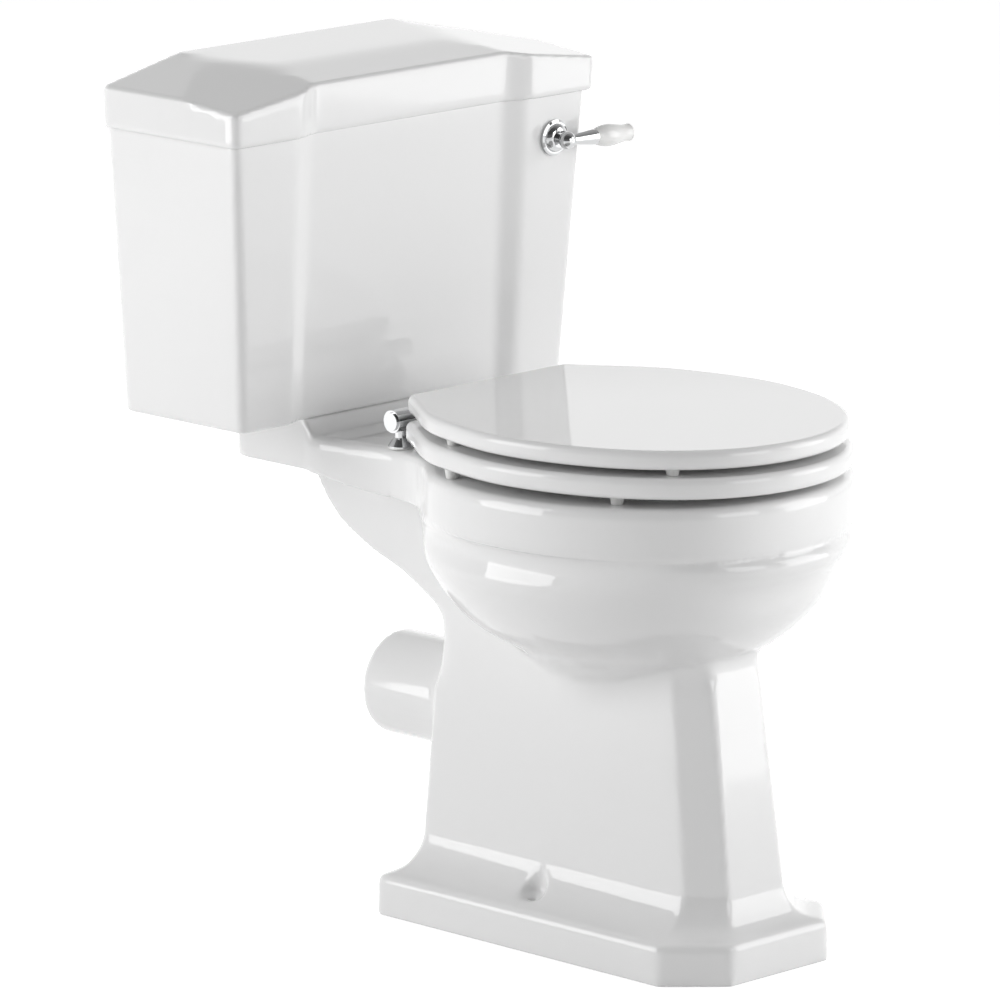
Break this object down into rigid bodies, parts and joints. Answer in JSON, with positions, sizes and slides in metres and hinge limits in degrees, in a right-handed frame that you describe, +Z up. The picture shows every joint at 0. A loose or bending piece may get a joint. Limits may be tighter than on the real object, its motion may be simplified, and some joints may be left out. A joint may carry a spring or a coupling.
{
  "type": "close coupled toilet",
  "caption": "Close coupled toilet with an angular plinth and cistern, lever flush, round-fronted lifting seat and lid, open rim bowl, siphon and float valve.",
  "frame": {"origin": "on the floor, midway between the two floor screw holes", "axes": "+Z up, the front looks along -Y, the wall is at +Y and the lever is on the +X side"},
  "size_m": [0.5136, 0.684, 0.804],
  "materials": {
    "china": "white gloss glaze",
    "handle_china": "white gloss glaze",
    "seat": "white gloss",
    "chrome": "polished",
    "brass": "plain turned",
    "steel": "zinc plated",
    "rubber": "matt black",
    "buffer_rubber": "soft white",
    "white_plastic": "satin white",
    "float_plastic": "satin orange"
  },
  "bodies": {
    "toilet": {"pan_rim": "china", "pan_bowl": "china", "pan_foot": "china", "cistern": "china", "doughnut_seal": "rubber", "siphon_backnut": "white_plastic", "siphon_washer": "rubber", "coupling_bolts": "steel", "bolt_seals": "rubber", "bolt_washers": "steel", "wing_nuts": "steel", "siphon_body": "white_plastic", "lever_bush": "chrome", "lever_bush_nut": "brass", "fill_valve": "brass", "fill_valve_seal": "rubber", "fill_valve_backnut": "brass", "float_pin": "brass", "hinge_pillars": "chrome", "hinge_caps": "chrome", "hinge_pins": "chrome", "hinge_pads": "buffer_rubber", "hinge_washers": "buffer_rubber", "hinge_nuts": "white_plastic"},
    "cistern_lid": {"cistern_lid": "china"},
    "lever": {"lever_spindle": "chrome", "lever_handle": "handle_china", "lever_end_cap": "chrome", "inner_arm": "brass", "inner_arm_screw": "steel"},
    "lift": {"lift_rod": "white_plastic", "lift_link": "steel", "siphon_diaphragm": "white_plastic"},
    "float": {"float_arm": "brass", "float_ball": "float_plastic"},
    "seat_ring": {"seat_ring": "seat", "ring_buffers": "buffer_rubber", "ring_hinge_arms": "chrome", "ring_hinge_screws": "steel"},
    "seat_lid": {"seat_lid": "seat", "lid_buffers": "buffer_rubber", "lid_hinge_arms": "chrome", "lid_hinge_screws": "steel"}
  },
  "joints": [
    {"name": "ring_hinge", "type": "hinge", "parent": "toilet", "child": "seat_ring", "pos_m": [0, 0.155, 0.4795], "axis": [-1, 0, 0], "range_deg": [0, 95]},
    {"name": "lid_hinge", "type": "hinge", "parent": "seat_ring", "child": "seat_lid", "pos_m": [0, 0.155, 0.4795], "axis": [1, 0, 0], "range_deg": [-96, 0]},
    {"name": "lever_hinge", "type": "hinge", "parent": "toilet", "child": "lever", "pos_m": [0.1885, 0.23764, 0.702], "axis": [0, 0.9985, 0.0549], "range_deg": [0, 24], "stiffness_Nm_per_rad": 0.4},
    {"name": "lift_slide", "type": "slide", "parent": "toilet", "child": "lift", "axis": [0, 0, 1], "range_m": [0, 0.052]},
    {"name": "float_hinge", "type": "hinge", "parent": "toilet", "child": "float", "pos_m": [0.164, 0.345, 0.668], "axis": [0, 1, 0], "range_deg": [0, 23]},
    {"name": "cistern_lid_lift", "type": "slide", "parent": "toilet", "child": "cistern_lid", "axis": [0, 0, 1], "range_m": [0, 0.1]}
  ],
  "couplings": [
    {"joint": "lift_slide", "follows": "lever_hinge", "m_per_rad": 0.12363}
  ]
}
